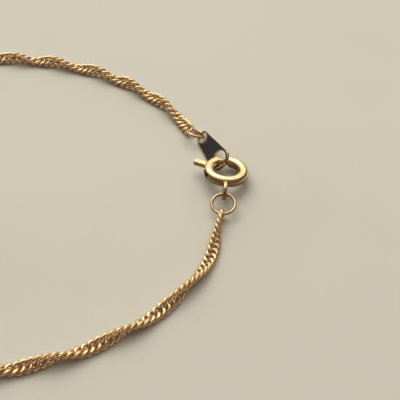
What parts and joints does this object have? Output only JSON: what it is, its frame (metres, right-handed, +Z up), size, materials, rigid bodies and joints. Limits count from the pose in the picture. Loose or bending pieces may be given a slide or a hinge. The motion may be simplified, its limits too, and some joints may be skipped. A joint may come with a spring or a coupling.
{
  "type": "chain bracelet",
  "caption": "Closed bracelet of twisted flat curb chain, laid flat: spring ring clasp with a sprung bolt, hooked through a flat tapered end plate, each on a jump ring.",
  "frame": {"origin": "middle of the loop's bounding box, on the surface that the bracelet lies on", "axes": "+Z up from the surface, +X from the loop's middle towards the clasp, +Y towards the side of the end plate"},
  "size_m": [0.0634, 0.0536, 0.0028],
  "materials": {
    "clasp": "polished gold plate",
    "plate": "mirror-bright gold plate",
    "rings": "bright gold plate",
    "chain": "polished, diamond-cut rose-gold plate"
  },
  "bodies": {
    "bracelet": {"clasp_ring": "clasp", "end_plate": "plate", "jump_ring_clasp": "rings", "jump_ring_plate": "rings", "chain_near": "chain", "chain_far": "chain"},
    "trigger": {"clasp_trigger": "clasp"}
  },
  "joints": [
    {"name": "trigger_turn", "type": "hinge", "parent": "bracelet", "child": "trigger", "pos_m": [0.02893, 0.00228, 0.00141], "axis": [0.093, 0.154, 0.9837], "range_deg": [0, 45], "stiffness_Nm_per_rad": 0.0005, "springref_deg": -17.19}
  ]
}
